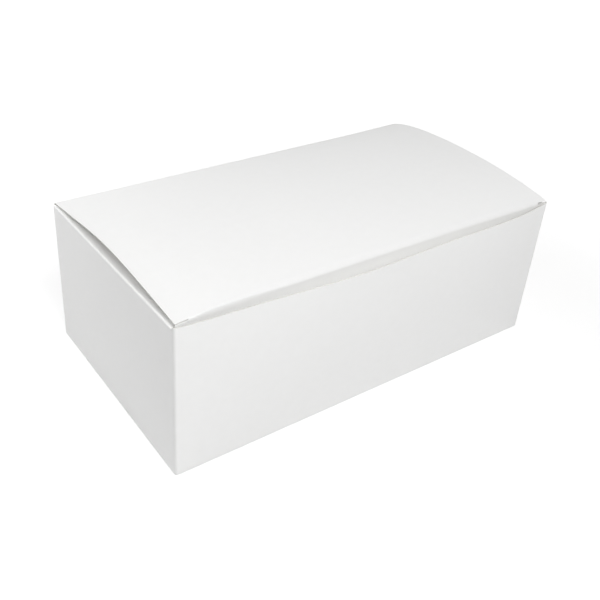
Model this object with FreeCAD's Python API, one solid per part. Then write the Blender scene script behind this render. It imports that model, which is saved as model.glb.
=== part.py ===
"""A takeout food box: one folded paperboard carton with a lid that tucks in at the front.

The carton is one glued blank: a bottom of four interlocked flaps, four walls, a glue tab in one back corner
and a dust flap on each end wall. The lid is the top panel with its tuck flap, and turns on the crease along
the top of the back wall.

Units are millimetres and degrees. X runs along the front wall, Y towards the back wall and Z up. The origin
is on the table, in the middle of the box's outline seen from above, with the front wall's bulge counted in.
"""
import FreeCAD, Part
import os
from math import asin, cos, degrees, radians, sin, sqrt

from FreeCAD import Placement, Rotation, Vector

# The carton, outside sizes
length = 225.0
depth = 125.0
height = 80.0
board = 0.5
upright_crease_radius = 1.5
base_crease_radius = 1.0

# The front wall's rim bulges outward: how far its curve's two handles are pulled, and how long they are
bow_pull_left = 6.0
bow_pull_right = 8.0
bow_handle = 45.0

# The lid: steepness where it leaves the hinge and where it meets the front crease, and its curve's handles
lid_side_gap = 1.0
lid_rise_left = 6.0
lid_rise_right = 48.0
lid_fall_left = 6.0
lid_fall_right = 12.5
hinge_handle_left = 54.0
hinge_handle_right = 16.0
front_handle_left = 66.0
front_handle_right = 42.0
hinge_gap = 0.4
lid_clearance = 0.3

# The lid's front crease: its roundness and height at the ends, how much rounder it is where the front wall
# bulges most, and how far its two handles are pulled up
front_crease_radius = 2.0
front_crease_lift = 1.6
front_crease_softening = 1.0
crease_pull_left = 4.0
crease_pull_right = 1.2

# The tuck flap: its lower edge follows this share of the front wall's bulge
tuck_depth = 24.0
tuck_corner_radius = 18.0
tuck_side_gap = 0.8
tuck_clearance = 0.3
tuck_follow = 0.85
slit_length = 6.0
slit_width = 0.4
slit_end_radius = 0.5

# The dust flaps on the end walls
dust_crease_radius = 1.0
dust_length = 55.0
dust_slope = 3.0
dust_front_setback = 4.0
dust_back_setback = 1.5
dust_shoulder = 14.0
dust_front_taper = 40.0
dust_back_taper = 12.0
dust_corner_radius = 8.0

# The bottom: two long flaps that hook over each other, glued by their wings to the two end flaps
bottom_seam = 0.4
bottom_lap = 14.0
hook_slant = 8.0
end_flap_length = 52.0
end_flap_taper = 35.0
end_flap_setback = 1.0
end_flap_corner_radius = 4.0
hook_root = 1.0
wing_opening_width = 46.0
wing_opening_setback = 2.0
wing_opening_reach = 44.0
score_width = 0.8
score_depth = 0.12

# The glue tab inside the back wall, and the seam where the two raw edges meet
glue_tab_width = 18.0
glue_tab_taper = 12.0
glue_seam = 0.3
glue_seam_setback = 0.6
glue_seam_foot = 2.5

# A cutter reaches this far past what it cuts, and this far in from the front wall at the tuck flap and slit
spare = 1.0
tuck_cut_reach = 30.0
slit_cut_reach = 6.0

# The lid's cross-sections stand at these shares of the way along the front rim's curve
lid_stations = (0.0, 0.15, 0.35, 0.5, 0.65, 0.85, 1.0)

half_length = length / 2


def pulled(share, left, right):
    """Height of a cubic curve over the line between its ends, with its two inner poles pulled off that line."""
    return 3 * (1 - share) ** 2 * share * left + 3 * (1 - share) * share ** 2 * right


def peak_of_bow():
    """Furthest reach of the front rim's curve, whose two inner poles are pulled outward."""
    left, right = bow_pull_left, bow_pull_right
    # The slope of 3(1-t)^2 t left + 3(1-t) t^2 right is zero where a t^2 + b t + c = 0
    a = 3 * left - 3 * right
    b = 2 * right - 4 * left
    c = left
    t = 0.5
    if abs(a) > 1e-9:
        t = (-b - sqrt(b * b - 4 * a * c)) / (2 * a)
    return pulled(t, left, right)


front_bow = peak_of_bow()
back_y = (depth + front_bow) / 2
front_y = back_y - depth
middle_y = (front_y + back_y) / 2


def cubic(start, start_pole, end_pole, end):
    curve = Part.BezierCurve()
    curve.setPoles([start, start_pole, end_pole, end])
    return curve.toShape()


def line(start, end):
    return Part.makeLine(start, end)


def arc(start, middle, end):
    return Part.Arc(start, middle, end).toShape()


def box(low, high):
    """Block between two corners given as (x, y, z)."""
    size = Vector(*high) - Vector(*low)
    return Part.makeBox(size.x, size.y, size.z, Vector(*low))


def prism(outline, bottom, top):
    """Upright block over an outline of (x, y) points."""
    points = [Vector(x, y, bottom) for x, y in outline]
    face = Part.Face(Part.makePolygon(points + points[:1]))
    return face.extrude(Vector(0, 0, top - bottom))


def mirrored(shape):
    """The same shape at the other end of the box."""
    return shape.mirror(Vector(0, 0, 0), Vector(1, 0, 0))


def wall_ring(z, inset):
    """Closed line round the four walls at one height, set in from their outer faces."""
    radius = upright_crease_radius - inset
    pull = z / height
    right = half_length - inset
    front = front_y + inset
    back = back_y - inset
    run = half_length - upright_crease_radius
    corner = radius * (1 - sqrt(0.5))
    near = front_y + upright_crease_radius
    far = back_y - upright_crease_radius
    edges = [
        cubic(
            Vector(-run, front, z),
            Vector(-run + bow_handle, front - bow_pull_left * pull, z),
            Vector(run - bow_handle, front - bow_pull_right * pull, z),
            Vector(run, front, z),
        ),
        arc(Vector(run, front, z), Vector(right - corner, front + corner, z), Vector(right, near, z)),
        line(Vector(right, near, z), Vector(right, far, z)),
        arc(Vector(right, far, z), Vector(right - corner, back - corner, z), Vector(run, back, z)),
        line(Vector(run, back, z), Vector(-run, back, z)),
        arc(Vector(-run, back, z), Vector(-right + corner, back - corner, z), Vector(-right, far, z)),
        line(Vector(-right, far, z), Vector(-right, near, z)),
        arc(Vector(-right, near, z), Vector(-right + corner, front + corner, z), Vector(-run, front, z)),
    ]
    return Part.Wire(edges)


def tray(bottom, top, inset, edge_radius):
    """Solid block inside the walls, with its bottom edges rounded."""
    block = Part.makeLoft([wall_ring(bottom, inset), wall_ring(top, inset)], True, True)
    bottom_edges = [edge for edge in block.Edges if abs(edge.BoundBox.ZMax - bottom) < 1e-6]
    return block.makeFillet(edge_radius, bottom_edges)


def walls():
    """The four walls and the outer layer of the bottom, with each wall cut to its own height."""
    outer = tray(0, height, 0, base_crease_radius)
    inner = tray(board, height + spare, board, base_crease_radius - board)
    shell = outer.cut(inner)
    end_top = height - board - lid_clearance - dust_crease_radius
    back_top = height - board - lid_clearance
    corner = upright_crease_radius
    over_ends = box(
        (-half_length - spare, front_y + corner, end_top),
        (half_length + spare, back_y - corner, height + spare),
    )
    inside_front = box(
        (-half_length + corner, front_y - front_bow - spare, 0),
        (half_length - corner, front_y + corner + spare, height + 2 * spare),
    )
    over_back = box(
        (-half_length - spare, back_y - corner - spare, back_top),
        (half_length + spare, back_y + spare, height + spare),
    )
    return shell.cut(over_ends.cut(inside_front)).cut(over_back)


def dust_flap():
    """Left dust flap: the crease at the top of the end wall and the flap folded in under the lid."""
    radius = dust_crease_radius
    top = height - board - lid_clearance
    turn = radians(90 + dust_slope)
    centre_x = -half_length + radius
    centre_z = top - radius

    def on_arc(distance, angle):
        return Vector(centre_x - distance * cos(angle), 0, centre_z + distance * sin(angle))

    along = Vector(cos(radians(dust_slope)), 0, -sin(radians(dust_slope)))
    straight = dust_length - radius
    inner_radius = radius - board
    wall_foot = centre_z - spare
    outer_end = on_arc(radius, turn) + along * straight
    inner_end = on_arc(inner_radius, turn) + along * straight
    edges = [
        line(Vector(-half_length, 0, wall_foot), on_arc(radius, 0)),
        arc(on_arc(radius, 0), on_arc(radius, turn / 2), on_arc(radius, turn)),
        line(on_arc(radius, turn), outer_end),
        line(outer_end, inner_end),
        line(inner_end, on_arc(inner_radius, turn)),
        arc(on_arc(inner_radius, turn), on_arc(inner_radius, turn / 2), on_arc(inner_radius, 0)),
        line(on_arc(inner_radius, 0), Vector(-half_length + board, 0, wall_foot)),
        line(Vector(-half_length + board, 0, wall_foot), Vector(-half_length, 0, wall_foot)),
    ]
    strip = Part.Face(Part.Wire(edges)).extrude(Vector(0, depth, 0))
    strip.translate(Vector(0, front_y, 0))

    root = -half_length + radius
    end = -half_length + dust_length
    front = front_y + dust_front_setback
    back = back_y - dust_back_setback
    shoulder = root + dust_shoulder
    front_lean = (end - shoulder) * sin(radians(dust_front_taper))
    back_lean = (end - root) * sin(radians(dust_back_taper))
    outline = [
        (root - spare, front),
        (shoulder, front),
        (end, front + front_lean),
        (end, back - back_lean),
        (root, back),
        (root - spare, back),
    ]
    panel = prism(outline, 0, height)
    tip_edges = [
        edge
        for edge in panel.Edges
        if edge.BoundBox.ZLength > spare and abs(edge.BoundBox.XMax - end) < 1e-6
    ]
    panel = panel.makeFillet(dust_corner_radius, tip_edges)
    crease_strip = box(
        (-half_length - spare, front_y + upright_crease_radius, 0),
        (root, back_y - upright_crease_radius, height),
    )
    return strip.common(panel.fuse(crease_strip))


def seam_line():
    """Points of the hooked line where the two long bottom flaps meet, seen from below."""
    apex = half_length - wing_opening_setback - wing_opening_reach
    lap = bottom_lap / 2
    slant = hook_slant
    return [
        (-apex, middle_y),
        (-apex + lap, middle_y + lap),
        (-slant, middle_y + lap),
        (slant, middle_y - lap),
        (apex - lap, middle_y - lap),
        (apex, middle_y),
    ]


def groove(start, end, width, deep):
    """Straight groove in the underside from one point to another."""
    run = Vector(end[0] - start[0], end[1] - start[1], 0)
    cutter = Part.makeBox(run.Length + width, width, deep + spare, Vector(-width / 2, -width / 2, -spare))
    turn = Rotation(Vector(1, 0, 0), run)
    cutter.Placement = Placement(Vector(start[0], start[1], 0), turn)
    return cutter


def bottom_cuts():
    """Seam, wing openings and score lines, cut into the outer layer of the bottom."""
    points = seam_line()
    cuts = [groove(start, end, bottom_seam, board) for start, end in zip(points, points[1:])]
    crease = -half_length + wing_opening_setback
    opening = prism(
        [
            (crease, middle_y - wing_opening_width / 2),
            (crease + wing_opening_reach, middle_y),
            (crease, middle_y + wing_opening_width / 2),
        ],
        -spare,
        board,
    )
    cuts += [opening, mirrored(opening)]
    inset = base_crease_radius
    reach = depth / 2 - inset
    apex = half_length - wing_opening_setback - wing_opening_reach
    for side in (-1, 1):
        for edge_y, way in ((front_y + inset, 1), (back_y - inset, -1)):
            corner = (side * (half_length - inset), edge_y)
            run = min(reach - bottom_lap / 2, half_length - inset - apex)
            meet = (corner[0] - side * run, edge_y + way * run)
            cuts.append(groove(corner, meet, score_width, score_depth))
    return cuts


def bottom_inner_layer():
    """The end flaps, and the two hooked laps of the long flaps, one board up from the table."""
    root = -half_length + board
    end = root + end_flap_length
    lean = end_flap_length * sin(radians(end_flap_taper))
    front = front_y + board + end_flap_setback
    back = back_y - board - end_flap_setback
    end_flap = prism([(root, front), (end, front + lean), (end, back - lean), (root, back)], board, 2 * board)
    tip_edges = [
        edge
        for edge in end_flap.Edges
        if edge.BoundBox.ZLength > board / 2 and abs(edge.BoundBox.XMax - end) < 1e-6
    ]
    end_flap = end_flap.makeFillet(end_flap_corner_radius, tip_edges)
    lap = bottom_lap / 2
    near = hook_slant
    far = half_length - board - end_flap_length + hook_root
    back_hook = prism(
        [
            (-far, middle_y + lap + hook_root),
            (-far, middle_y - lap),
            (near, middle_y - lap),
            (near, middle_y - lap + hook_root),
            (-near, middle_y + lap + hook_root),
        ],
        board,
        2 * board,
    )
    front_hook = back_hook.copy()
    front_hook.rotate(Vector(0, middle_y, 0), Vector(0, 0, 1), 180)
    return [end_flap, mirrored(end_flap), back_hook, front_hook]


def glue_tab():
    """Tab from the right end wall, glued inside the back wall."""
    top = height - board - lid_clearance - upright_crease_radius
    low = board + base_crease_radius
    inner = back_y - board
    right = half_length - upright_crease_radius
    left = right - glue_tab_width
    lean = glue_tab_width * sin(radians(glue_tab_taper))
    points = [
        Vector(right, inner, low),
        Vector(left, inner, low + lean),
        Vector(left, inner, top - lean),
        Vector(right, inner, top),
    ]
    return Part.Face(Part.makePolygon(points + points[:1])).extrude(Vector(0, -board, 0))


def glue_seam_cut():
    """Narrow upright gap beside the back right corner, where the back wall's raw edge ends."""
    x = half_length - upright_crease_radius - glue_seam_setback
    return box(
        (x - glue_seam, back_y - board, glue_seam_foot),
        (x, back_y + spare, height + spare),
    )


def carton():
    flap = dust_flap()
    pieces = [flap, mirrored(flap), *bottom_inner_layer(), glue_tab()]
    body = walls().fuse(pieces)
    body = body.cut([*bottom_cuts(), glue_seam_cut()])
    return body.removeSplitter()


def inward(heading):
    """Across the lid's board, from its outer face in, where that face runs down to the front at this heading."""
    return Vector(0, sin(radians(heading)), -cos(radians(heading)))


def crease_at(station):
    """Radius and centre of the front crease at one station, and the lean of the tuck flap below it."""
    bulge = pulled(station, bow_pull_left, bow_pull_right)
    radius = front_crease_radius + front_crease_softening * bulge / front_bow
    lift = front_crease_lift + pulled(station, crease_pull_left, crease_pull_right)
    # The crease and the flap's edge both keep clear of the front wall as they turn about the hinge
    swing = depth - board - tuck_clearance
    edge_swing = swing + tuck_follow * bulge
    drop = tuck_depth + radius - lift
    lean = degrees(asin((swing - sqrt(edge_swing ** 2 - drop ** 2)) / tuck_depth))
    centre = Vector(0, back_y - swing + radius, height + lift - radius)
    return radius, centre, lean


def panel_poles(radius, centre, offset, rise, fall, hinge_handle, front_handle):
    """Four poles of the lid panel's curve from the hinge to the front crease, this deep in the board."""
    hinge_end = Vector(0, back_y - hinge_gap, height)
    out = Vector(0, -cos(radians(rise)), sin(radians(rise)))
    back_up = Vector(0, cos(radians(fall)), sin(radians(fall)))
    crease_end = centre - inward(fall) * (radius - offset)
    return [
        hinge_end - Vector(0, 0, offset),
        hinge_end + out * hinge_handle + inward(-rise) * offset,
        crease_end + back_up * front_handle,
        crease_end,
    ]


def lid_section(station):
    """Closed line round the lid's thickness, from the hinge over the front crease to the tuck flap's edge."""
    edge = half_length - lid_side_gap
    handle = bow_handle * edge / (half_length - upright_crease_radius)
    x = edge * (2 * station ** 3 - 1) + pulled(station, 0, 2 * edge)
    x += pulled(station, handle, -handle)
    share = (x + edge) / (2 * edge)
    radius, centre, lean = crease_at(station)
    fall = lid_fall_left * (1 - share) + lid_fall_right * share
    down = 90 + lean
    flap_run = inward(down + 90) * -tuck_depth

    def side(offset):
        """Points of one face of the board: the panel's four poles, the crease's middle and end, the flap's edge."""
        left = panel_poles(
            radius, centre, offset, lid_rise_left, lid_fall_left, hinge_handle_left, front_handle_left
        )
        right = panel_poles(
            radius, centre, offset, lid_rise_right, lid_fall_right, hinge_handle_right, front_handle_right
        )
        points = [a * (1 - share) + b * share for a, b in zip(left, right)]
        points[3] = centre - inward(fall) * (radius - offset)
        crease_middle = centre - inward((fall + down) / 2) * (radius - offset)
        crease_end = centre - inward(down) * (radius - offset)
        points += [crease_middle, crease_end, crease_end + flap_run]
        return [point + Vector(x, 0, 0) for point in points]

    outer, inner = side(0), side(board)
    edges = [
        cubic(outer[0], outer[1], outer[2], outer[3]),
        arc(outer[3], outer[4], outer[5]),
        line(outer[5], outer[6]),
        line(outer[6], inner[6]),
        line(inner[6], inner[5]),
        arc(inner[5], inner[4], inner[3]),
        cubic(inner[3], inner[2], inner[1], inner[0]),
        line(inner[0], outer[0]),
    ]
    return Part.Wire(edges)


def tuck_edge_height():
    """Lowest height of the tuck flap's edge."""
    heights = []
    for station in lid_stations:
        radius, centre, lean = crease_at(station)
        heights.append(centre.z - radius * sin(radians(lean)) - tuck_depth * cos(radians(lean)))
    return min(heights)


def slit_cuts():
    """Right end of the front crease: the flap's side gap, and the slit that frees the panel, with a round end."""
    end = half_length - board - tuck_side_gap
    front = front_y - spare
    slit_low = height + lid_clearance
    slit_top = slit_low + slit_width
    beside_flap = box(
        (end, front, tuck_edge_height() - spare),
        (half_length + spare, front + tuck_cut_reach, slit_top),
    )
    slit = box((end - slit_length, front, slit_low), (end, front + slit_cut_reach, slit_top))
    slit_end = Part.makeCylinder(
        slit_end_radius,
        slit_cut_reach,
        Vector(end - slit_length, front, (slit_low + slit_top) / 2),
        Vector(0, 1, 0),
    )
    return [beside_flap, slit, slit_end]


def rounded_corner_cut():
    """What is cut away outside the tuck flap's rounded right corner."""
    end = half_length - board - tuck_side_gap
    flap_low = tuck_edge_height()
    near = front_y - front_bow - spare
    far = front_y + tuck_cut_reach
    corner = tuck_corner_radius
    block = box((end - corner, near, flap_low - spare), (end + spare, far, flap_low + corner))
    centre = Vector(end - corner, near - spare, flap_low + corner)
    quarter = Part.makeCylinder(corner, far - near + 2 * spare, centre, Vector(0, 1, 0))
    return block.cut(quarter)


def lid():
    folded = Part.makeLoft([lid_section(station) for station in lid_stations], True, False)
    cuts = [*slit_cuts(), rounded_corner_cut()]
    return folded.cut(cuts + [mirrored(cut) for cut in cuts])


def save(name, shape):
    shape.exportStep(f"parts/{name}.step")
    box_size = shape.optimalBoundingBox(False, False)
    print(
        f"{name}: {len(shape.Solids)} solid, valid {shape.isValid()}, volume {shape.Volume:.0f},",
        f"x {box_size.XMin:.2f}..{box_size.XMax:.2f}, y {box_size.YMin:.2f}..{box_size.YMax:.2f},",
        f"z {box_size.ZMin:.2f}..{box_size.ZMax:.2f}",
    )


os.makedirs("parts", exist_ok=True)
save("carton", carton())
save("lid", lid())
print(f"hinge axis at y {back_y:.3f}, z {height:.3f}; front wall's plane at y {front_y:.3f}")
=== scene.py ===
"""Looks of the takeout food box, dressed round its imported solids.

Every panel is a sheet of coated board: its outer face is laid out as grids of points that share their
borders, and the sheet is then thickened inward. Lengths are in metres, in the frame of the solids: X along
the front wall, Y towards the back wall and Z up.
"""
from collections import namedtuple
from math import asin, cos, pi, radians, sin, sqrt

import bmesh
import bpy
import numpy as np
from mathutils import Matrix, Vector, noise


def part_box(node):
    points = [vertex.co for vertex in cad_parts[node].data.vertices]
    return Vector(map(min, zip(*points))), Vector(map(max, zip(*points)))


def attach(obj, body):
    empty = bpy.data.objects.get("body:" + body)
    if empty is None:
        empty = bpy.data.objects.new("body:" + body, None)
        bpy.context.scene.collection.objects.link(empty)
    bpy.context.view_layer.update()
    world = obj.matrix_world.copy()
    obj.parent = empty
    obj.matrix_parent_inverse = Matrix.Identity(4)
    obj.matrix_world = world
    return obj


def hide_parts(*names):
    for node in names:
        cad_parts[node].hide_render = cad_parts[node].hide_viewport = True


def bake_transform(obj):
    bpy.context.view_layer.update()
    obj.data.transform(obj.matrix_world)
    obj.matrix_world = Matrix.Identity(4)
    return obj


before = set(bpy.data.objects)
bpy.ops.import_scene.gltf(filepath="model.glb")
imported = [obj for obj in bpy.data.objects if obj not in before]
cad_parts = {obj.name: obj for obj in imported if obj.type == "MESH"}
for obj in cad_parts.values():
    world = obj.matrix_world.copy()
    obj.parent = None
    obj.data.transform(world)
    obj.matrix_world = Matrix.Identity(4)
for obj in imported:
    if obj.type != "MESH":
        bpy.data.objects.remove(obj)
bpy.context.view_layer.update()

mm = 0.001

# Board and creases, as the solids have them
board = 0.5 * mm
depth = 125 * mm
upright_radius = 1.5 * mm
base_radius = 1.0 * mm
dust_radius = 1.0 * mm
lid_clearance = 0.3 * mm

# Between two boards that lie on each other, and under which points of a sheet merge
layer_gap = 0.02 * mm
merge_distance = 0.001 * mm

# Front wall: pull and length of the rim curve's two handles, and the slow wave that the scene adds to it
bow_pull_left = 6 * mm
bow_pull_right = 8 * mm
bow_handle = 45 * mm
rim_wave = 0.8 * mm
rim_wave_length = 113 * mm
rim_wave_crest = -22 * mm

# Lid: slopes and handle lengths of its end curves at the hinge and at the front crease, each left and right
lid_side_gap = 1 * mm
hinge_gap = 0.4 * mm
lid_rise = (radians(6), radians(48))
lid_fall = (radians(6), radians(12.5))
hinge_handle = (54 * mm, 16 * mm)
front_handle = (66 * mm, 42 * mm)

# Hinge crease: how far under the walls' top it begins, and the least rise of its bend
hinge_drop = 1.4 * mm
hinge_rise = 0.4 * mm

# Front crease: its radius, wider where the wall bulges, and its arch over the walls
crease_radius = 2 * mm
crease_softening = 1 * mm
crease_lift = 1.6 * mm
crease_pull_left = 4 * mm
crease_pull_right = 1.2 * mm

# The scene's own change to it: sharper on the left, up to a stretch of x where that ends, and with a swell
# past the left slit, which comes in over a stretch from the lid's left edge and goes over a stretch of x
sharp_crease_radius = 0.9 * mm
sharp_end = (-90 * mm, -50 * mm)
crease_swell = 0.7 * mm
swell_start = (5 * mm, 15 * mm)
swell_end = (-80 * mm, -35 * mm)

# Tuck flap and the slits beside it, which begin half way round the crease
tuck_depth = 24 * mm
tuck_corner = 18 * mm
tuck_side_gap = 0.6 * mm
tuck_clearance = 0.3 * mm
flap_follow = 0.85
slit_length = 6 * mm
slit_width = 0.3 * mm
slit_share = 0.5

# Dust flaps. Past its front end their crease narrows to a share of its radius, up to a web just inside the
# front wall
dust_length = 55 * mm
dust_slope = radians(3)
dust_sag = 0.6 * mm
dust_front_setback = 2.4 * mm
dust_back_setback = 1.5 * mm
dust_shoulder = 14 * mm
dust_front_lean = 0.64
dust_back_lean = 0.21
dust_corner = 8 * mm
dust_web_gap = 0.35 * mm
dust_web_share = 0.45

# Long bottom flaps, with the opening between a flap and its wings
seam_gap = 0.4 * mm
opening_width = 46 * mm
opening_setback = 2 * mm
opening_reach = 44 * mm
wing_setback = 2.5 * mm

# Hooks of the long bottom flaps: where each starts to rise outside the lap, is half up and is up
lap = 14 * mm
hook_slant = 8 * mm
hook_rise = (3 * mm, 1.8 * mm, 0.8 * mm)
hook_end_gap = 0.3 * mm

# Scored grooves between the long bottom flaps and their wings
score_width = 0.8 * mm
score_rise = 0.12 * mm
score_end = 3 * mm
score_offset = (0.25 * mm, 0.75 * mm)

# Bottom flaps of the end walls
end_flap_length = 52 * mm
end_flap_lean = 0.57
end_flap_margin = 0.3 * mm
end_flap_step = 1.2 * mm
end_flap_shoulder = 2 * mm

# Glue tab and seam
tab_width = 18 * mm
tab_lean = 0.21
tab_drop = 1 * mm
seam_width = 0.3 * mm
seam_margin = 3 * mm

# Unevenness: height and length of its waves, the slice of the noise that a panel takes, and what keeps it
# off the creases
wall_waves = (0.35 * mm, 45 * mm)
dust_waves = (0.5 * mm, 30 * mm)
lid_waves = (0.35 * mm, 55 * mm)
wall_slices = {"left": 4, "right": 5, "back": 4}
dust_slices = {"left": 3, "right": 5}
lid_slice = 11
slice_step = 7.3
dust_calm = 10 * mm
lid_calm = 0.7

# Places taken from the frame
carton_low, carton_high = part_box("carton")
half_length = carton_high.x
height = carton_high.z
back_y = carton_high.y
front_y = back_y - depth
middle_y = (front_y + back_y) / 2
front_bow = front_y - carton_low.y

# Half lengths of the rim between its corners, of the lid and of its flap
half_rim = half_length - upright_radius
half_lid = half_length - lid_side_gap
half_flap = half_length - board - tuck_side_gap

# Heights of the dust flaps' upper face at their crease, and of the hinge crease's foot
shelf = height - board - lid_clearance
hinge_foot = height - hinge_drop

# The photograph's camera, fitted to the box's seven visible corners in a square frame, with its place as
# seen from the front left corner of the bottom
frame_pixels = 600
focal_pixels = 786.77
middle_pixel = (252.78, 264.89)
camera_from_corner = (-118.32 * mm, -219.56 * mm, 260.35 * mm)
camera_azimuth = radians(-35.128)
camera_elevation = radians(31.103)
camera_roll = radians(2.72)

# Floor: its own glow to the eye near the box, the grey that takes shade, the distances from the middle
# between which the glow grows to plain white, its half width, and how far it lies under the box
floor_glow = 0.66
floor_shade = 0.45
floor_fade = (0.22, 0.5)
floor_reach = 4.0
floor_drop = 0.1 * mm

# Even light from all round, and soft square lamps with their places, widths in metres and watts
world_fill = 0.08
lamps = [
    ("near_front", (-0.12, -0.45, 0.55), 0.35, 2.7),
    ("high_front", (0.0, -0.9, 0.95), 0.7, 3.5),
    ("left_back", (-0.43, 0.36, 0.34), 0.3, 0.75),
    ("left_back_high", (-0.45, 0.42, 0.60), 0.3, 1.8),
    ("back", (0.0, 1.1, 0.4), 0.9, 1.7),
    ("right", (0.9, 0.1, 0.22), 0.5, 1.6),
]
lamp_target = (0, 0, 0.05)

# A place round the walls: a centre, the outward direction, how far out the outer face lies, and whose it is
Column = namedtuple("Column", "centre way radius wall")


def spread(start, end, count):
    """Evenly spaced values from start to end, both included."""
    return [float(v) for v in np.linspace(start, end, count)]


def blended(pair, share):
    """Value between a left and a right one."""
    return pair[0] * (1 - share) + pair[1] * share


def cubic(a, b, c, d, t):
    """Value at t on a curve from a to d, whose handles end in b and c."""
    return a * (1 - t) ** 3 + b * 3 * (1 - t) ** 2 * t + c * 3 * (1 - t) * t ** 2 + d * t ** 3


def smooth(value, start, end):
    """Goes from 0 at start to 1 at end without a corner."""
    share = min(1.0, max(0.0, (value - start) / (end - start)))
    return share * share * (3 - 2 * share)


def rounding(past, radius):
    """How far an edge draws in on a round corner, at a distance past the corner's start."""
    past = max(0.0, past)
    return radius - sqrt(max(0.0, radius ** 2 - past ** 2))


def corner_steps(end, radius, count):
    """Distances that share out the turn of a round corner evenly, up to its end."""
    return [end - radius * (1 - sin(a)) for a in spread(0, pi / 2, count)[1:]]


def cockle(x, y, waves, tag):
    """Slow random unevenness of a panel, up to about the height of its waves either way."""
    rise, length = waves
    return rise * noise.noise(Vector((x / length, y / length, tag * slice_step)))


class Sheet:
    """Outer face of folded board, gathered from grids of points whose shared borders merge."""

    def __init__(self):
        self.points = []
        self.faces = []

    def grid(self, rows, keep=None, flip=False):
        """Quads between rows of points; keep(row, column) says which of them stay."""
        start = len(self.points)
        width = len(rows[0])
        for row in rows:
            self.points.extend(row)
        for i in range(len(rows) - 1):
            for j in range(width - 1):
                if keep is None or keep(i, j):
                    a = start + i * width + j
                    quad = (a, a + 1, a + 1 + width, a + width)
                    self.faces.append(quad[::-1] if flip else quad)

    def polygon(self, points):
        """One face with these corners."""
        start = len(self.points)
        self.points.extend(points)
        self.faces.append(tuple(range(start, len(self.points))))

    def build(self, name, body, materials):
        """The thickened piece, which rides on its body if it is given one."""
        mesh = bpy.data.meshes.new(name)
        mesh.from_pydata([tuple(p) for p in self.points], [], self.faces)
        work = bmesh.new()
        work.from_mesh(mesh)
        bmesh.ops.remove_doubles(work, verts=work.verts, dist=merge_distance)
        loose = [v for v in work.verts if not v.link_faces]
        bmesh.ops.delete(work, geom=loose, context="VERTS")
        work.to_mesh(mesh)
        work.free()
        piece = bpy.data.objects.new(name, mesh)
        bpy.context.scene.collection.objects.link(piece)
        for material in materials:
            mesh.materials.append(material)
        thicken(piece)
        if body:
            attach(piece, body)
        return piece


def thicken(piece):
    """Gives the sheet the board's thickness inward, with its own materials inside and on the cut edges."""
    solid = piece.modifiers.new("board", "SOLIDIFY")
    solid.thickness = board
    solid.offset = -1
    solid.use_even_offset = True
    solid.use_quality_normals = True
    solid.material_offset = 1
    solid.material_offset_rim = 2
    graph = bpy.context.evaluated_depsgraph_get()
    final = bpy.data.meshes.new_from_object(piece.evaluated_get(graph))
    piece.modifiers.clear()
    piece.data = final
    final.shade_smooth()
    final.set_sharp_from_angle(angle=radians(40))


def rim_station(x):
    """Share of the way along the front rim's curve at which it passes x, found by halving."""
    low, high = 0.0, 1.0
    for _ in range(30):
        t = (low + high) / 2
        at = cubic(-half_rim, -half_rim + bow_handle, half_rim - bow_handle, half_rim, t)
        low, high = (t, high) if at < x else (low, t)
    return t


def bow(station):
    """How far the front rim stands out from the line between its two corners."""
    return cubic(0, bow_pull_left, bow_pull_right, 0, station)


def front_bulge(x, z):
    """Outward reach of the front wall at a place on it."""
    rise = max(z, 0) / height
    taper = 1 - (abs(x) / half_rim) ** 6
    wave = rim_wave * cos(2 * pi * (x - rim_wave_crest) / rim_wave_length)
    return bow(rim_station(x)) * rise + wave * taper * rise * rise


def wall_columns():
    """Columns round the walls, anticlockwise from the front left, with the first one again at the end."""
    near = front_y + upright_radius
    far = back_y - upright_radius
    columns = []

    def straight(points, way, wall):
        columns.extend(Column(Vector((x, y, 0)), Vector(way), 0.0, wall) for x, y in points)

    def corner(x, y, start):
        for turn in spread(start, start + 90, 9)[1:-1]:
            way = Vector((cos(radians(turn)), sin(radians(turn)), 0))
            columns.append(Column(Vector((x, y, 0)), way, upright_radius, "corner"))

    seam = half_rim - 2 * seam_width
    across = spread(-half_rim, half_rim, 76)
    side = [near] + spread(front_y + dust_front_setback, far, 42)
    back = [half_rim, seam, seam - seam_width] + spread(seam - seam_margin, -half_rim, 74)
    straight([(x, front_y) for x in across], (0, -1, 0), "front")
    corner(half_rim, near, 270)
    straight([(half_length, y) for y in side], (1, 0, 0), "right")
    corner(half_rim, far, 0)
    straight([(x, back_y) for x in back], (0, 1, 0), "back")
    corner(-half_rim, far, 90)
    straight([(-half_length, y) for y in reversed(side)], (-1, 0, 0), "left")
    corner(-half_rim, near, 180)
    columns.append(columns[0])
    return columns


def wall_waviness(column, z):
    """Outward reach of the back wall or an end wall, which is nothing at its edges."""
    if column.wall == "back":
        along = column.centre.x
        share = along / half_length
    else:
        along = column.centre.y
        share = (along - middle_y) / (depth / 2)
    calm = max(0.0, 1 - share ** 4) * sin(pi * min(1, max(0, z / height)))
    return cockle(along, z, wall_waves, wall_slices[column.wall]) * calm


def wall_point(column, z, inset=0.0):
    """Point of the walls' outer face at one column and height, drawn in by an inset."""
    out = column.radius - inset
    if column.wall == "front":
        out += front_bulge(column.centre.x, z)
    elif column.wall != "corner":
        out += wall_waviness(column, z)
    return column.centre + column.way * out + Vector((0, 0, z))


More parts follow.
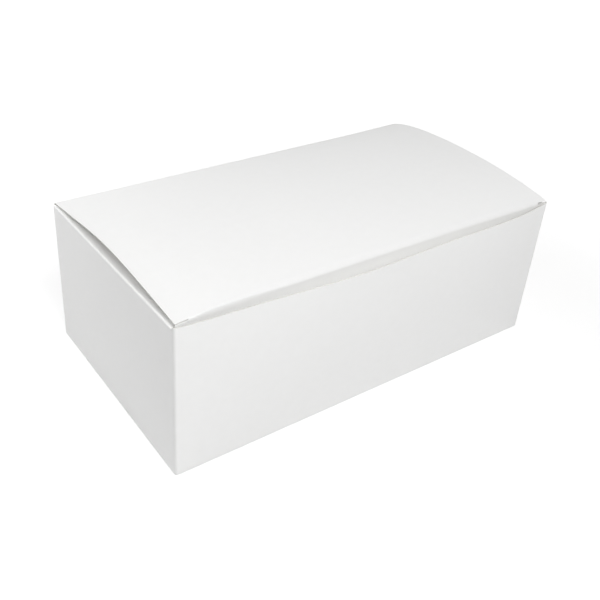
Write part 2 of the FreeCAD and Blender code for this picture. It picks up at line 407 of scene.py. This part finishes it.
def carton_walls(sheet):
    """The four walls with the curl of their base creases. Returns the columns that they stand on.

    Past the dust flaps' creases only the front and back walls go on up.
    """
    columns = wall_columns()
    curl = [(base_radius * (1 - sin(a)), base_radius * (1 - cos(a))) for a in spread(0, pi / 2, 7)]
    crease_foot = shelf - dust_radius
    seam_at = next(i for i, c in enumerate(columns) if c.wall == "back") + 1

    def rows(heights):
        return [[wall_point(c, z) for c in columns] for z in heights]

    def rises(j, way):
        """Whether the strip after a column is in the front or back wall, or in a corner beside it."""
        pair = columns[j:j + 2]
        on_end_wall = all(c.wall in ("left", "right") for c in pair)
        return not on_end_wall and all((c.centre.y - middle_y) * way > 0 for c in pair)

    def below(i, j):
        return j != seam_at or i < len(curl)

    def front_part(i, j):
        return rises(j, -1)

    def back_part(i, j):
        return rises(j, 1) and j != seam_at

    foot = [[wall_point(c, z, inset) for c in columns] for inset, z in curl]
    sheet.grid(foot + rows(spread(base_radius, crease_foot, 30)[1:]), below)
    sheet.grid(rows(spread(crease_foot, height, 3)), front_part)
    sheet.grid(rows([crease_foot, hinge_foot]), back_part)
    return columns


def dust_flap(sheet, columns, wall):
    """The crease at the top of an end wall and the flap folded in under the lid."""
    way = -1 if wall == "left" else 1
    ys = [c.centre.y for c in columns if c.wall == wall]
    turn = pi / 2 + dust_slope
    front_end = front_y + dust_front_setback
    back_end = back_y - dust_back_setback
    straight = dust_length - dust_radius
    corner_start = straight - dust_corner
    flap_ys = [y for y in ys if y > front_end - merge_distance]

    def crease_point(y, angle, narrow=1.0):
        x = half_length - dust_radius * (1 - narrow * cos(angle))
        return Vector((way * x, y, shelf - dust_radius + dust_radius * sin(angle)))

    def crease_row(angle):
        web = crease_point(front_y + board + dust_web_gap, angle, dust_web_share)
        row = [web] + [crease_point(y, angle) for y in sorted(ys)]
        return row[::way]

    def flap_row(s):
        """Points across the flap at a distance from its crease."""
        inset = rounding(s - corner_start, dust_corner)
        front = front_end + max(0.0, s - dust_shoulder) * dust_front_lean + inset
        back = back_end - s * dust_back_lean - inset
        drop = sin(dust_slope) * s + dust_sag * (s / straight) ** 2
        root = crease_point(0, turn)
        row = []
        for y in flap_ys:
            share = min(1.0, max(0.0, (y - front_end) / (back_end - front_end)))
            place = front + (back - front) * share
            lift = cockle(s, place, dust_waves, dust_slices[wall]) * min(1, s / dust_calm)
            row.append(Vector((root.x - way * cos(dust_slope) * s, place, root.z - drop + lift)))
        return row

    sheet.grid([crease_row(a) for a in spread(0, turn, 9)])
    stops = spread(0, dust_shoulder, 5) + spread(dust_shoulder, corner_start, 11)[1:]
    stops += corner_steps(straight, dust_corner, 8)
    sheet.grid([flap_row(s) for s in stops])


def ring_row(columns, wall):
    """Points of the base crease's inner line along one wall."""
    return [wall_point(c, 0, base_radius) for c in columns[:-1] if c.wall == wall]


def long_bottom_flap(sheet, columns, wall):
    """Front or back flap of the bottom with its two glued wings, in one layer on the table.

    Its own coordinates run from the middle of the bottom, with the flap's root at negative y. A shallow
    scored groove parts each wing from the flap: its centre line stands a little up from the table.
    """
    row = ring_row(columns, wall)
    way = 1 if wall == "front" else -1
    wing = half_length - opening_setback
    apex = wing - opening_reach
    gap = seam_gap / 2
    half_lap = lap / 2
    root = (row[0].y - middle_y) * way
    run = half_length - base_radius - apex
    corner_x = wing + score_offset[0]
    corner_y = root + score_offset[1]

    def turned(x, y, z=0.0):
        return Vector((way * x, middle_y + way * y, z))

    def groove(side):
        """The groove's flap side, tip and wing side, and the two ends of its centre line."""
        half = score_width / 2 * sqrt(0.5)
        flap_side = turned(side * (corner_x - half), corner_y - half)
        wing_side = turned(side * (corner_x + half), corner_y + half)
        tip = turned(side * (corner_x - run), corner_y + run)
        line_start = turned(side * corner_x, corner_y, score_rise)
        line_end = turned(side * (corner_x - run + score_end), corner_y + run - score_end, score_rise)
        return (flap_side, tip, wing_side), (line_start, line_end)

    right, left = groove(1), groove(-1)
    outline = [
        *right[0],
        turned(wing, root + wing_setback),
        turned(wing, -opening_width / 2),
        turned(apex, -gap),
        turned(apex - half_lap, -half_lap - gap),
        turned(hook_slant, -half_lap - gap),
        turned(-hook_slant, half_lap - gap),
        turned(-apex + half_lap, half_lap - gap),
        turned(-apex, -gap),
        turned(-wing, -opening_width / 2),
        turned(-wing, root + wing_setback),
        *reversed(left[0]),
    ]
    sheet.polygon((row + outline)[::-1])
    for order, ((flap_side, tip, wing_side), (line_start, line_end)) in ((-1, right), (1, left)):
        sheet.polygon([flap_side, line_start, line_end, tip][::order])
        sheet.polygon([wing_side, tip, line_end, line_start][::order])


def end_bottom_flap(sheet, columns, wall):
    """Bottom flap of an end wall, which steps up over the wings glued under it."""
    row = ring_row(columns, wall)
    way = -1 if wall == "left" else 1
    ys = [p.y for p in row]
    near, far = min(ys), max(ys)

    def flap_row(s):
        """Points across the flap at a distance from its crease."""
        inset = end_flap_margin + max(0.0, s - end_flap_shoulder) * end_flap_lean
        narrow = (far - near - 2 * inset) / (far - near)
        z = (board + layer_gap) * smooth(s, 0, end_flap_step)
        return [Vector((row[0].x - way * s, near + inset + narrow * (y - near), z)) for y in ys]

    stops = spread(0, end_flap_step, 4)[1:] + spread(end_flap_step, end_flap_length, 8)[1:]
    sheet.grid([row] + [flap_row(s) for s in stops], flip=True)


def bottom_hook(sheet, way):
    """Lap of one long flap that passes inside the other: up over its edge, then flat."""
    far = half_length - base_radius - end_flap_length - hook_end_gap
    layer = board + layer_gap
    edge = lap / 2
    start, half_up, up = hook_rise
    rising = [(edge + start, layer_gap), (edge + half_up, layer / 2), (edge + up, layer)]
    rows = []
    for y, z in rising + [(0, layer), (-edge, layer)]:
        slant = min(1.0, max(0.0, (y + edge) / lap))
        end = hook_slant - 2 * hook_slant * slant
        rows.append([Vector((way * x, middle_y + way * y, z)) for x in spread(-far, end, 20)])
    sheet.grid(rows)


def glue_tab(sheet):
    """Tab of the right end wall, glued inside the back wall."""
    y = back_y - board - layer_gap
    low = board + base_radius
    top = hinge_foot - tab_drop
    columns = []
    for reach in spread(0, tab_width, 6):
        lean = reach * tab_lean
        columns.append([Vector((half_rim - reach, y, z)) for z in spread(low + lean, top - lean, 12)])
    sheet.grid([list(row) for row in zip(*columns)])


def crease_height(x, station):
    """How far the front crease stands over the walls at one place, with the swell past its left slit."""
    arch = cubic(0, crease_pull_left, crease_pull_right, 0, station)
    swell = smooth(x + half_lid, *swell_start) * (1 - smooth(x, *swell_end))
    return crease_lift + arch + crease_swell * swell


def on_section(poles, t):
    """Y and Z at t on a curve in a cross-section of the lid."""
    return cubic(*(p.y for p in poles), t), cubic(*(p.z for p in poles), t)


# Steps across the lid: along its panel's curve, round the front crease and down the flap
panel_steps = [0.006] + spread(0.03, 1, 34)
slit_far_share = slit_share + slit_width / (sharp_crease_radius * pi / 2)
crease_steps = spread(0, slit_share, 5) + spread(slit_far_share, 1, 5)
flap_steps = spread(0, tuck_depth - tuck_corner, 4) + corner_steps(tuck_depth, tuck_corner, 12)


def lid_profile(x):
    """Outer face of the lid at one place along it, from the hinge over the front crease to the flap's edge.

    The flap leans out after the front wall's bulge, as far as a swing round the hinge allows.
    """
    share = (x + half_lid) / (2 * half_lid)
    station = rim_station(x * half_rim / half_lid)
    bulge = bow(station)
    radius = crease_radius + crease_softening * bulge / front_bow
    radius += (sharp_crease_radius - radius) * (1 - smooth(x, *sharp_end))
    lift = crease_height(x, station)
    swing = depth - board - tuck_clearance
    centre = Vector((0, back_y - swing + radius, height + lift - radius))
    tip_drop = tuck_depth + radius - lift
    lean = asin((swing - sqrt((swing + flap_follow * bulge) ** 2 - tip_drop ** 2)) / tuck_depth)

    def end_section(side):
        """Poles of the panel's curve at the lid's left or right end."""
        rise, fall = lid_rise[side], lid_fall[side]
        start = Vector((0, back_y - hinge_gap, height))
        first = start + Vector((0, -cos(rise), sin(rise))) * hinge_handle[side]
        last = centre - Vector((0, sin(fall), -cos(fall))) * radius
        second = last + Vector((0, cos(fall), sin(fall))) * front_handle[side]
        return start, first, second, last

    left, right = end_section(0), end_section(1)
    points = []
    for t in panel_steps:
        y, z = (blended(pair, share) for pair in zip(on_section(left, t), on_section(right, t)))
        z += cockle(x, y, lid_waves, lid_slice) * sin(pi * t) ** lid_calm
        points.append(Vector((x, y, z)))
    fall = blended(lid_fall, share)
    for step in crease_steps[1:]:
        a = fall + (pi / 2 + lean - fall) * step
        points.append(Vector((x, centre.y, centre.z)) - Vector((0, sin(a), -cos(a))) * radius)
    crease_end = points[-1]
    down = Vector((0, sin(lean), -cos(lean)))
    points += [crease_end + down * s for s in flap_steps[1:]]
    return points


def lid_sheet(sheet):
    """Panel, front crease and tuck flap in one grid. Returns the panel's first two rows from the hinge."""
    slit_from = half_flap - slit_length
    beside = spread(slit_from, half_flap, 5)[1:] + [half_lid]
    xs = [-x for x in reversed(beside)] + spread(-slit_from, slit_from, 68) + beside
    rows = [list(row) for row in zip(*(lid_profile(x) for x in xs))]
    slit_row = len(panel_steps) - 1 + crease_steps.index(slit_share)
    flap_row = len(rows) - len(flap_steps)
    for row, s in zip(rows[flap_row:], flap_steps):
        inset = rounding(s - (tuck_depth - tuck_corner), tuck_corner)
        for point in row:
            point.x *= (half_flap - inset) / half_flap

    def keep(i, j):
        """Leaves out what lies beside the flap, and the slits that part the panel from the flap."""
        reach = abs(xs[j] + xs[j + 1]) / 2
        if reach > half_flap:
            return i < slit_row
        return i != slit_row or reach < slit_from

    sheet.grid(rows, keep, flip=True)
    return rows[0], rows[1]


def hinge_crease(materials, first_row, second_row):
    """Scored strip that bends from the back wall's top to the lid's first row, in line with its second."""
    sheet = Sheet()
    rows = []
    for t in spread(0, 1, 13):
        row = []
        for start, following in zip(first_row, second_row):
            slope = (following.z - start.z) / (start.y - following.y)
            corner_z = start.z - (back_y - start.y) * slope
            foot = Vector((start.x, back_y, hinge_foot))
            corner = Vector((start.x, back_y, min(height, max(corner_z, hinge_foot + hinge_rise))))
            row.append(foot * (1 - t) ** 2 + corner * 2 * (1 - t) * t + start * t ** 2)
        rows.append(row)
    sheet.grid(rows, flip=True)
    piece = sheet.build("hinge_crease", None, materials)
    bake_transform(piece)


def new_material(name):
    """A material with its node tree and its main shader."""
    material = bpy.data.materials.new(name)
    material.use_nodes = True
    tree = material.node_tree
    shader = tree.nodes["Principled BSDF"]
    return material, tree, shader


def noise_node(tree, scale, detail, squeeze=None):
    """Noise in the piece's own coordinates, squeezed along some axes if asked."""
    place = tree.nodes.new("ShaderNodeTexCoord")
    source = place.outputs["Object"]
    if squeeze:
        mapping = tree.nodes.new("ShaderNodeMapping")
        mapping.inputs["Scale"].default_value = squeeze
        tree.links.new(source, mapping.inputs["Vector"])
        source = mapping.outputs["Vector"]
    texture = tree.nodes.new("ShaderNodeTexNoise")
    texture.inputs["Scale"].default_value = scale
    texture.inputs["Detail"].default_value = detail
    tree.links.new(source, texture.inputs["Vector"])
    return texture.outputs["Fac"]


def ramp(tree, source, low, high, start, end):
    """Colours from low to high as the source goes from start to end."""
    node = tree.nodes.new("ShaderNodeValToRGB")
    node.color_ramp.elements[0].position = start
    node.color_ramp.elements[0].color = (*low, 1)
    node.color_ramp.elements[1].position = end
    node.color_ramp.elements[1].color = (*high, 1)
    tree.links.new(source, node.inputs["Fac"])
    return node.outputs["Color"]


def bump(tree, shader, layers):
    """Surface relief from (source, height in metres) layers."""
    normal = None
    for source, rise in layers:
        node = tree.nodes.new("ShaderNodeBump")
        node.inputs["Strength"].default_value = 1.0
        node.inputs["Distance"].default_value = rise
        tree.links.new(source, node.inputs["Height"])
        if normal is not None:
            tree.links.new(normal, node.inputs["Normal"])
        normal = node.outputs["Normal"]
    tree.links.new(normal, shader.inputs["Normal"])


def coated_board():
    """Outer face: smooth white clay coating over board, faintly mottled, with a soft sheen."""
    material, tree, shader = new_material("coated_board")
    mottle = noise_node(tree, scale=260, detail=4)
    colour = ramp(tree, mottle, (0.865, 0.865, 0.859), (0.875, 0.875, 0.87), start=0.3, end=0.7)
    tree.links.new(colour, shader.inputs["Base Color"])
    grain = noise_node(tree, scale=900, detail=3)
    roughness = ramp(tree, grain, (0.48, 0.48, 0.48), (0.58, 0.58, 0.58), start=0.3, end=0.7)
    tree.links.new(roughness, shader.inputs["Roughness"])
    shader.inputs["Specular IOR Level"].default_value = 0.4
    fine = noise_node(tree, scale=700, detail=5)
    slow = noise_node(tree, scale=50, detail=2)
    bump(tree, shader, [(fine, 0.01 * mm), (slow, 0.03 * mm)])
    return material


def uncoated_board():
    """Inner face: bare fibres, rougher and a little warmer than the coating."""
    material, tree, shader = new_material("uncoated_board")
    fibres = noise_node(tree, scale=500, detail=6, squeeze=(1, 3, 3))
    colour = ramp(tree, fibres, (0.79, 0.78, 0.745), (0.86, 0.853, 0.825), start=0.3, end=0.72)
    tree.links.new(colour, shader.inputs["Base Color"])
    shader.inputs["Roughness"].default_value = 0.85
    shader.inputs["Specular IOR Level"].default_value = 0.25
    bump(tree, shader, [(fibres, 0.05 * mm)])
    return material


def cut_edge():
    """Cut edge of the board: loose fibres in thin plies, a little darker."""
    material, tree, shader = new_material("cut_edge")
    plies = noise_node(tree, scale=900, detail=4)
    colour = ramp(tree, plies, (0.72, 0.705, 0.665), (0.84, 0.83, 0.8), start=0.3, end=0.7)
    tree.links.new(colour, shader.inputs["Base Color"])
    shader.inputs["Roughness"].default_value = 0.95
    shader.inputs["Specular IOR Level"].default_value = 0.15
    bump(tree, shader, [(plies, 0.04 * mm)])
    return material


def build_box():
    """The carton with its hooks and glue tab, the lid, and the crease between them."""
    materials = [coated_board(), uncoated_board(), cut_edge()]
    sheet = Sheet()
    columns = carton_walls(sheet)
    for wall in ("left", "right"):
        dust_flap(sheet, columns, wall)
        end_bottom_flap(sheet, columns, wall)
    for wall in ("front", "back"):
        long_bottom_flap(sheet, columns, wall)
    carton = sheet.build("carton_board", "carton", materials)
    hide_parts("carton")
    hooks = Sheet()
    for way in (1, -1):
        bottom_hook(hooks, way)
    hooks.build("bottom_hooks", "carton", materials)
    tab = Sheet()
    glue_tab(tab)
    tab.build("glue_tab", "carton", materials)
    top = Sheet()
    first_row, second_row = lid_sheet(top)
    lid = top.build("lid_board", "lid", materials)
    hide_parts("lid")
    hinge_crease(materials, first_row, second_row)


def make_camera():
    """The photograph's camera, turned by its roll round its line of sight."""
    data = bpy.data.cameras.new("camera")
    camera = bpy.data.objects.new("camera", data)
    bpy.context.scene.collection.objects.link(camera)
    bpy.context.scene.camera = camera
    data.sensor_width = 36
    data.lens = data.sensor_width * focal_pixels / frame_pixels
    data.shift_x = (frame_pixels / 2 - middle_pixel[0]) / frame_pixels
    data.shift_y = (middle_pixel[1] - frame_pixels / 2) / frame_pixels
    data.clip_start = 0.01
    az, el, roll = camera_azimuth, camera_elevation, camera_roll
    back = Vector((sin(az) * cos(el), -cos(az) * cos(el), sin(el)))
    right = (-back).cross(Vector((0, 0, 1))).normalized()
    up = right.cross(-back)
    turned_right = right * cos(roll) + up * sin(roll)
    turned_up = up * cos(roll) - right * sin(roll)
    place = Vector((-half_length, front_y, 0)) + Vector(camera_from_corner)
    rotation = Matrix((turned_right, turned_up, back)).transposed()
    camera.matrix_world = Matrix.Translation(place) @ rotation.to_4x4()


def seen_directly(tree):
    """1 for rays from the camera or from a shiny or clear surface, and 0 for those that carry light."""
    rays = tree.nodes.new("ShaderNodeLightPath")
    total = rays.outputs["Is Camera Ray"]
    for name in ("Is Glossy Ray", "Is Transmission Ray"):
        node = tree.nodes.new("ShaderNodeMath")
        node.operation = "MAXIMUM"
        tree.links.new(total, node.inputs[0])
        tree.links.new(rays.outputs[name], node.inputs[1])
        total = node.outputs["Value"]
    return total


def show_by_ray(tree, carried, seen, output):
    """Sends one shader to the rays that carry light, and another to those that are seen directly."""
    mixed = tree.nodes.new("ShaderNodeMixShader")
    tree.links.new(seen_directly(tree), mixed.inputs["Fac"])
    tree.links.new(carried, mixed.inputs[1])
    tree.links.new(seen, mixed.inputs[2])
    tree.links.new(mixed.outputs["Shader"], tree.nodes[output].inputs["Surface"])


def floor_material():
    """Plain floor: the eye sees it paler than the light that it gives back. It keeps the box's shadow."""
    material, tree, shader = new_material("floor")
    shader.inputs["Base Color"].default_value = (0.8, 0.8, 0.8, 1)
    shader.inputs["Roughness"].default_value = 0.9
    place = tree.nodes.new("ShaderNodeTexCoord")
    distance = tree.nodes.new("ShaderNodeVectorMath")
    distance.operation = "LENGTH"
    tree.links.new(place.outputs["Object"], distance.inputs[0])
    fade = tree.nodes.new("ShaderNodeMapRange")
    fade.inputs["From Min"].default_value = floor_fade[0]
    fade.inputs["From Max"].default_value = floor_fade[1]
    fade.inputs["To Min"].default_value = floor_glow
    fade.inputs["To Max"].default_value = 1.0
    tree.links.new(distance.outputs["Value"], fade.inputs["Value"])
    glow = tree.nodes.new("ShaderNodeEmission")
    tree.links.new(fade.outputs["Result"], glow.inputs["Strength"])
    shade = tree.nodes.new("ShaderNodeBsdfDiffuse")
    shade.inputs["Color"].default_value = (floor_shade, floor_shade, floor_shade, 1)
    added = tree.nodes.new("ShaderNodeAddShader")
    tree.links.new(glow.outputs["Emission"], added.inputs[0])
    tree.links.new(shade.outputs["BSDF"], added.inputs[1])
    show_by_ray(tree, shader.outputs["BSDF"], added.outputs["Shader"], "Material Output")
    return material


def make_floor():
    """Square floor just under the box."""
    mesh = bpy.data.meshes.new("floor")
    corners = [(-1, -1), (1, -1), (1, 1), (-1, 1)]
    points = [(x * floor_reach, y * floor_reach, -floor_drop) for x, y in corners]
    mesh.from_pydata(points, [], [(0, 1, 2, 3)])
    floor = bpy.data.objects.new("floor", mesh)
    bpy.context.scene.collection.objects.link(floor)
    mesh.materials.append(floor_material())


def make_world():
    """Even light from all round, with a white background."""
    world = bpy.data.worlds.new("world")
    bpy.context.scene.world = world
    world.use_nodes = True
    tree = world.node_tree
    fill = tree.nodes["Background"]
    fill.inputs["Color"].default_value = (1, 1, 1, 1)
    fill.inputs["Strength"].default_value = world_fill
    white = tree.nodes.new("ShaderNodeBackground")
    white.inputs["Color"].default_value = (1, 1, 1, 1)
    show_by_ray(tree, fill.outputs["Background"], white.outputs["Background"], "World Output")


def make_lamps():
    """Soft square lamps that face the box."""
    for name, place, width, power in lamps:
        data = bpy.data.lights.new(name, "AREA")
        data.shape = "SQUARE"
        data.size = width
        data.energy = power
        lamp = bpy.data.objects.new(name, data)
        bpy.context.scene.collection.objects.link(lamp)
        lamp.location = place
        lamp.rotation_mode = "QUATERNION"
        lamp.rotation_quaternion = (Vector(lamp_target) - Vector(place)).to_track_quat("-Z", "Y")


build_box()
make_camera()
make_floor()
make_world()
make_lamps()
bpy.context.scene.view_settings.view_transform = "Standard"
